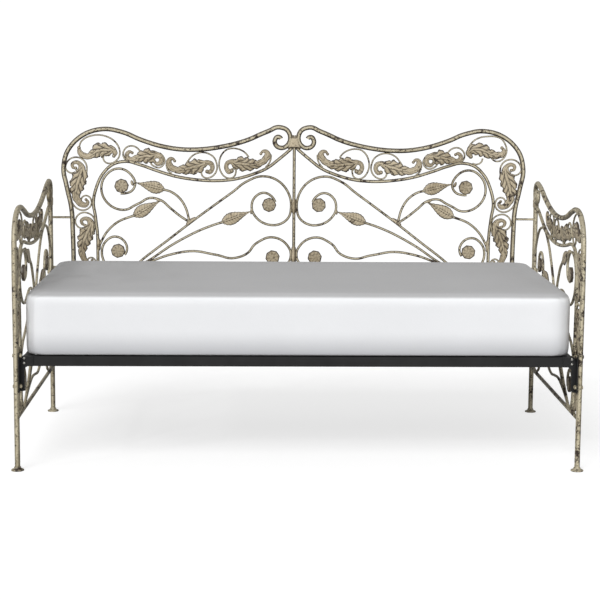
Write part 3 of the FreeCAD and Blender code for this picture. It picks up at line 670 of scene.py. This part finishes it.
def cover():
    """Smooth woven mattress cover with pale sides; the top and bottom panels are painted grey, and
    the sides darker towards the foot, as painted shade.
    """
    m = Nodes("mattress_cover")
    up = m.parts(m.add("NewGeometry").outputs["Normal"])["Z"]
    # painted shade: faces turned up or down take the grey panel colour, standing in for the top's
    # shade
    flat = m.step(m.math("ABSOLUTE", up), 0.34, 0.74)
    fleck = m.noise(900.0, 2.0, 0.5)
    cloud = m.noise(3.0, 3.0, 0.5)
    grain = m.math("ADD", m.math("MULTIPLY", fleck, 0.6), m.math("MULTIPLY", cloud, 0.4))
    painted_panel_shade = m.ramp(grain, [(0.3, srgb(163, 163, 164)), (0.7, srgb(172, 172, 173))])
    side = m.ramp(grain, [(0.3, srgb(226, 227, 229)), (0.7, srgb(232, 233, 235))])
    # painted shade: the colour the pale sides darken to near the bottom
    foot_shade_colour = m.ramp(grain, [(0.3, srgb(184, 185, 188)), (0.7, srgb(190, 191, 194))])
    height = m.parts(m.coords)["Z"]
    # mixes in the painted shade towards the bottom of the sides
    side = m.mix(m.step(height, 0.500, 0.405), side, foot_shade_colour)
    m.link(m.mix(flat, side, painted_panel_shade), "Base Color")
    m.shader.inputs["Roughness"].default_value = 0.92
    m.shader.inputs["Specular IOR Level"].default_value = 0.2
    m.shader.inputs["Sheen Weight"].default_value = 0.12
    m.shader.inputs["Sheen Roughness"].default_value = 0.5
    bands = []
    for direction in ("X", "Y", "Z"):
        wave = m.add("TexWave", {"Vector": m.coords, "Scale": 160.0, "Distortion": 0.6,
                                 "Detail": 1.0, "Detail Scale": 2.0},
                     wave_type="BANDS", bands_direction=direction)
        bands.append(wave.outputs["Fac"])
    weave = m.math("MULTIPLY", m.math("ADD", bands[0], bands[1]), bands[2])
    normal = m.bump(weave, 0.0004, 0.35)
    normal = m.bump(m.noise(14.0, 3.0, 0.5), 0.0022, 0.35, normal)
    m.link(normal, "Normal")
    return m.material


def floor_material():
    """Pale studio floor, lifted towards white where it is looked at."""
    m = Nodes("floor")
    speck = m.noise(30.0, 3.0, 0.5)
    m.link(m.ramp(speck, [(0.3, (0.35, 0.35, 0.35, 1.0)), (0.7, (0.37, 0.37, 0.37, 1.0))]),
           "Base Color")
    m.shader.inputs["Roughness"].default_value = 0.9
    m.shader.inputs["Specular IOR Level"].default_value = 0.1
    seen = m.add("LightPath").outputs["Is Camera Ray"]
    m.shader.inputs["Emission Color"].default_value = (1.0, 1.0, 1.0, 1.0)
    m.link(m.math("MULTIPLY", seen, 0.70), "Emission Strength")
    return m.material


PAINT = distressed("antique_paint", srgb(196, 186, 159), srgb(142, 131, 105), srgb(44, 34, 26),
                   0.55, 0.60, cast=False)
CAST = distressed("antique_casting", srgb(187, 174, 148), srgb(144, 130, 103),
                  srgb(50, 39, 29), 0.58, 0.62, cast=True)
ENAMEL = enamel()
RIVET = steel("rivet_steel", srgb(214, 212, 206), srgb(150, 148, 142), 0.25, 0.5)
SPRING = steel("spring_steel", srgb(172, 172, 170), srgb(120, 120, 118), 0.28, 0.5)
COVER = cover()


# ---- CAD nodes that stay --------------------------------------------------------------------
def dress(node, material):
    """Gives every face of a CAD node one material."""
    obj = nodes[node]
    if obj.data.materials:
        for i in range(len(obj.data.materials)):
            obj.data.materials[i] = material
    else:
        obj.data.materials.append(material)


SLOT_LOOKS = {"antique_paint": PAINT, "antique_casting": CAST, "black_enamel": ENAMEL,
              "rivet_steel": RIVET, "bolt_steel": PAINT, "spring_steel": SPRING,
              "mattress_cloth": COVER}
for row in frame["record"]["subparts"]:
    dress(row["node"], SLOT_LOOKS[row["material_slot"]])


# ---- pieces built here ----------------------------------------------------------------------
def build_side(side, word):
    """Leaves, stems, castings and sheaths of the back half and the arm on one side."""
    for prefix, plane, sprays, sheaths in (
            ("back", back_plane(side), BACK_SPRAYS, BACK_SHEATHS),
            ("arm", arm_plane(side), ARM_SPRAYS, ARM_SHEATHS)):
        leaves = Builder()
        stems = Builder()
        for i, (stem, base, tip) in enumerate(sprays):
            add_stem(stems, plane, stem, i)
            add_leaf(leaves, plane, base, tip, i + 3 * (side > 0) + 7 * (prefix == "arm"))
        leaf_piece = leaves.build(prefix + "_cast_leaves_" + word, CAST)
        stem_piece = stems.build(prefix + "_leaf_stems_" + word, PAINT)
        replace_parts(leaf_piece, prefix + "_leaf_sprays_" + word)
        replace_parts(stem_piece, prefix + "_leaf_sprays_" + word)
        castings = Builder()
        if prefix == "back":
            spines = [SPINES[key] for key in BACK_UNITS[word]]
        else:
            spines = [mirrored(SPINES[key], source, target, scale)
                      for key, source, target, scale in ARM_UNITS]
        for i, spine in enumerate(spines):
            add_casting(castings, plane, spine, i)
        piece = castings.build(prefix + "_acanthus_" + word, CAST)
        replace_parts(piece, prefix + "_acanthus_leaves_" + word)
        build_sheaths(prefix + "_weld_sheaths_" + word, plane, sheaths)


def build_sheaths(name, plane, sheaths):
    """Lumpy cast sheaths over the welds where bars meet or branch."""
    sheath = Builder()
    for (x, y), angle, length, radius in sheaths:
        a = math.radians(angle)
        line = []
        radii = []
        for k in range(17):
            t = k / 16 - 0.5
            wobble = noise.noise(Vector((x * 0.1 + k * 0.35, y * 0.1, 0.5)))
            line.append(plane((x + t * length * math.cos(a), y + t * length * math.sin(a))))
            radii.append(radius * MM * (0.4 + 0.6 * math.cos(math.pi * t) ** 0.7)
                         * (1 + 0.12 * wobble))
        tube(sheath, line, radii, 16, 0.8)
    sheath.build(name, CAST)


build_side(-1, "left")
build_side(1, "right")
build_sheaths("middle_weld_sheaths", back_plane(1), MIDDLE_SHEATHS)


def build_clasps():
    """Cast clasps where the crest rods meet the post, and where the arm tops meet the legs."""
    builder = Builder()
    middle = [(1085, 31), (1092, 29), (1100, 26), (1108, 23.5), (1116, 22), (1122, 21.5),
              (1128, 21)]
    add_clasp(builder, (0, LEG_Y, 0), Vector((1, 0, 0)), middle)
    arm_top = [(846, 12), (853, 15), (864, 15.5), (876, 14), (885, 10)]
    for side in (-1, 1):
        add_clasp(builder, (side * ARM_X, LEG_Y - 2, 0), Vector((0, 1, 0)), arm_top)
    clasps = builder.build("crest_clasps_cast", CAST)
    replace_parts(clasps, "crest_collars")


build_clasps()

for node, normal in (("back_rosettes", Vector((0, 1, 0))), ("arm_rosettes", Vector((1, 0, 0)))):
    bosses = Builder()
    for i, (low, high) in enumerate(islands(node)):
        add_rosette(bosses, (low + high) / 2, normal, (high.z - low.z) / 2, i)
    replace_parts(bosses.build(node + "_cast", CAST), node)


# ---- feet -----------------------------------------------------------------------------------
FOOT_PROFILE = [(22.5, 0.0), (22.5, 2.6), (21.8, 4.0), (20.2, 4.9), (17.5, 5.6), (15.0, 6.8),
                (13.2, 8.8), (12.3, 11.4), (11.6, 13.6), (9.8, 14.0)]


def add_turned(builder, centre, profile, sides=40):
    """Round piece about an upright axis, from a profile of (radius, height) in mm."""
    rows = [[builder.point(centre + Vector((r * math.cos(a), r * math.sin(a), z)) * MM)
             for a in (2 * math.pi * k / sides for k in range(sides))] for r, z in profile]
    builder.grid(rows, closed=True)
    builder.fan(builder.point(centre + Vector((0, 0, profile[0][1])) * MM), rows[0][::-1])
    builder.fan(builder.point(centre + Vector((0, 0, profile[-1][1])) * MM), rows[-1])


feet = Builder()
for low, high in islands("feet"):
    add_turned(feet, Vector(((low.x + high.x) / 2, (low.y + high.y) / 2, 0)), FOOT_PROFILE)
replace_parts(feet.build("turned_feet", PAINT), "feet")


# ---- springs --------------------------------------------------------------------------------
SPRING_WIRE = 1.1 * MM
SPRING_TURNS = 15
SPRING_HOOK = 0.16      # share of the length that each straight end takes


def add_spring(builder, start, end, radius):
    """Helical tension spring with straight ends."""
    axis = end - start
    length = axis.length
    axis.normalize()
    u = axis.orthogonal().normalized()
    v = axis.cross(u)
    path = [start]
    steps = SPRING_TURNS * 12
    for k in range(steps + 1):
        t = k / steps
        grow = min(1.0, 12 * t, 12 * (1 - t))
        a = 2 * math.pi * SPRING_TURNS * t
        path.append(start + axis * length * (SPRING_HOOK + (1 - 2 * SPRING_HOOK) * t)
                    + (u * math.cos(a) + v * math.sin(a)) * (radius - SPRING_WIRE) * grow)
    path.append(end)
    tube(builder, path, [SPRING_WIRE] * len(path), 6)


springs = Builder()
for low, high in islands("deck_springs"):
    middle = (low + high) / 2
    size = high - low
    if size.x > size.y:
        a, b = Vector((low.x, middle.y, middle.z)), Vector((high.x, middle.y, middle.z))
    else:
        a, b = Vector((middle.x, low.y, middle.z)), Vector((middle.x, high.y, middle.z))
    add_spring(springs, a, b, size.z / 2)
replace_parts(springs.build("helical_springs", SPRING), "deck_springs")


# ---- mattress -------------------------------------------------------------------------------
START_INSET = 0.010     # how much smaller the block is before the cloth run
SIDE_SHARE, TOP_SHARE = 0.7, 0.35
VOXEL = 0.013
CLOTH_FRAMES = 20
PUFF_CAP = 0.014        # the furthest a point may move in the cloth run
PUFF_SHARE = 0.25       # how much of that move a firm mattress keeps
END_SWELL = 0.0075      # how far each end stands proud of the block
PLAN_CORNER = 0.075     # round of the upright corners, seen from above
FOOT_REACH = 0.030      # height over which the bottom border is drawn out
FLAT_LIFT = 0.0002      # gap that keeps the bottom panel off the deck


def square_foot(co, centre, half, height):
    """Draw a point near the bottom border out towards the sides, so the border is crisp."""
    local = Vector((co.x - centre.x, co.y - centre.y))
    past = Vector((abs(local.x) - half.x + PLAN_CORNER, abs(local.y) - half.y + PLAN_CORNER))
    if past.x > 0 and past.y > 0:
        gap = PLAN_CORNER - past.length
        outward = past.normalized()
    else:
        gap = PLAN_CORNER - max(past)
        outward = Vector((1, 0)) if past.x > past.y else Vector((0, 1))
    near_foot = max(0.0, 1 - height / FOOT_REACH)
    near_side = min(1.0, max(0.0, (0.055 - gap) / 0.035))
    drawn = max(0.0, gap) * 0.8 * near_foot * near_side
    co.x += math.copysign(outward.x * drawn, local.x)
    co.y += math.copysign(outward.y * drawn, local.y)


def apply_modifiers(piece):
    graph = bpy.context.evaluated_depsgraph_get()
    mesh = bpy.data.meshes.new_from_object(piece.evaluated_get(graph))
    piece.modifiers.clear()
    piece.data = mesh


def blow_out(piece):
    """Short cloth run with air inside; each point keeps a share of its capped move."""
    rest = [v.co.copy() for v in piece.data.vertices]
    cloth = piece.modifiers.new("cloth", "CLOTH")
    settings = cloth.settings
    settings.quality = 6
    settings.mass = 0.3
    settings.tension_stiffness = 25
    settings.compression_stiffness = 25
    settings.bending_stiffness = 2.0
    settings.use_pressure = True
    settings.uniform_pressure_force = 4.0
    settings.effector_weights.gravity = 0.0
    cloth.collision_settings.use_self_collision = False
    cloth.collision_settings.use_collision = False
    cloth.point_cache.frame_start = 1
    cloth.point_cache.frame_end = CLOTH_FRAMES
    for f in range(1, CLOTH_FRAMES + 1):
        bpy.context.scene.frame_set(f)
    apply_modifiers(piece)
    bpy.context.scene.frame_set(1)
    for v, r in zip(piece.data.vertices, rest):
        move = v.co - r
        if move.length > PUFF_CAP:
            move = move.normalized() * PUFF_CAP
        v.co = r + move * PUFF_SHARE


def build_mattress():
    """Padded mattress: the block drawn in a little, blown out, then fitted to its place."""
    low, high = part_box("mattress")
    mesh = nodes["mattress"].data.copy()
    piece = bpy.data.objects.new("twin_mattress", mesh)
    bpy.context.scene.collection.objects.link(piece)
    centre = (low + high) / 2
    half = (high - low) / 2
    for v in mesh.vertices:
        d = v.co - centre
        v.co = centre + Vector([
            d[i] * (1 - START_INSET / half[i] * (SIDE_SHARE if i < 2 else TOP_SHARE))
            for i in range(3)])
    mesh.materials.clear()
    mesh.materials.append(COVER)
    remesh = piece.modifiers.new("remesh", "REMESH")
    remesh.mode = "VOXEL"
    remesh.voxel_size = VOXEL
    remesh.use_smooth_shade = True
    apply_modifiers(piece)
    blow_out(piece)
    for v in piece.data.vertices:
        v.co.z = max(v.co.z, low.z)
    subdivision = piece.modifiers.new("subdivision", "SUBSURF")
    subdivision.levels = 1
    subdivision.render_levels = 1
    apply_modifiers(piece)
    least = Vector([min(v.co[i] for v in piece.data.vertices) for i in range(3)])
    most = Vector([max(v.co[i] for v in piece.data.vertices) for i in range(3)])
    swell = Vector((END_SWELL, 0.0, 0.0))
    low, high = low - swell, high + swell
    for v in piece.data.vertices:
        v.co = Vector([low[i] + (v.co[i] - least[i]) * (high[i] - low[i]) / (most[i] - least[i])
                       for i in range(3)])
        v.co.z = max(v.co.z, low.z + FLAT_LIFT)
        square_foot(v.co, centre, (high - low) / 2, v.co.z - low.z)
    piece.data.polygons.foreach_set("use_smooth", [True] * len(piece.data.polygons))
    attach(piece, "mattress")
    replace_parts(piece, "mattress")


build_mattress()


# ---- stage, light and camera ----------------------------------------------------------------
FLOOR_HALF = 30.0
AMBIENT = 0.40          # strength of the white surround as a light
BACKDROP = 1.05         # and as what is seen behind the bed


def build_floor():
    mesh = bpy.data.meshes.new("floor")
    mesh.from_pydata([(x * FLOOR_HALF, y * FLOOR_HALF, 0)
                      for x, y in ((-1, -1), (1, -1), (1, 1), (-1, 1))], [], [(0, 1, 2, 3)])
    floor = bpy.data.objects.new("floor", mesh)
    bpy.context.scene.collection.objects.link(floor)
    mesh.materials.append(floor_material())


def build_surround():
    world = bpy.data.worlds.new("studio")
    world.use_nodes = True
    tree = world.node_tree
    ray = tree.nodes.new("ShaderNodeLightPath")
    strength = tree.nodes.new("ShaderNodeMapRange")
    strength.inputs["To Min"].default_value = AMBIENT
    strength.inputs["To Max"].default_value = BACKDROP
    background = tree.nodes["Background"]
    background.inputs["Color"].default_value = (1.0, 1.0, 1.0, 1.0)
    tree.links.new(ray.outputs["Is Camera Ray"], strength.inputs["Value"])
    tree.links.new(strength.outputs["Result"], background.inputs["Strength"])
    bpy.context.scene.world = world


def sun_light(name, towards, energy, angle):
    """Far light that shines from the direction given."""
    light = bpy.data.lights.new(name, "SUN")
    light.energy = energy
    light.angle = angle
    obj = bpy.data.objects.new(name, light)
    obj.rotation_euler = Vector(towards).to_track_quat("Z", "Y").to_euler()
    bpy.context.scene.collection.objects.link(obj)


def area_light(name, position, target, size, energy):
    """Square soft box aimed at a point."""
    light = bpy.data.lights.new(name, "AREA")
    light.shape = "SQUARE"
    light.size = size
    light.energy = energy
    obj = bpy.data.objects.new(name, light)
    obj.location = position
    direction = Vector(target) - Vector(position)
    obj.rotation_euler = direction.to_track_quat("-Z", "Y").to_euler()
    bpy.context.scene.collection.objects.link(obj)


CAMERA_PLACE = (-0.146, -6.243, 1.408)
CAMERA_LENS = 99.96
YAW, PITCH, ROLL = math.radians(1.47), math.radians(7.95), math.radians(0.40)


def build_camera():
    forward = Vector((math.sin(YAW) * math.cos(PITCH), math.cos(YAW) * math.cos(PITCH),
                      -math.sin(PITCH)))
    level = Vector((math.cos(YAW), -math.sin(YAW), 0))
    upward = level.cross(forward)
    right = level * math.cos(ROLL) + upward * math.sin(ROLL)
    top = upward * math.cos(ROLL) - level * math.sin(ROLL)
    data = bpy.data.cameras.new("camera")
    data.sensor_width = 36.0
    data.lens = CAMERA_LENS
    data.clip_end = 100.0
    camera = bpy.data.objects.new("camera", data)
    matrix = Matrix((right, top, -forward)).transposed().to_4x4()
    matrix.translation = Vector(CAMERA_PLACE)
    camera.matrix_world = matrix
    bpy.context.scene.collection.objects.link(camera)
    bpy.context.scene.camera = camera


bpy.context.scene.view_settings.view_transform = "Standard"
build_floor()
build_surround()
sun_light("key", (-2.2, -5.4, 5.0), 2.35, 0.55)
sun_light("low_key", (-5.0, -3.4, 2.6), 0.50, 0.06)
area_light("fill", (3.5, -6.0, 2.5), (0, 0, 0.6), 3.0, 60.0)
build_camera()
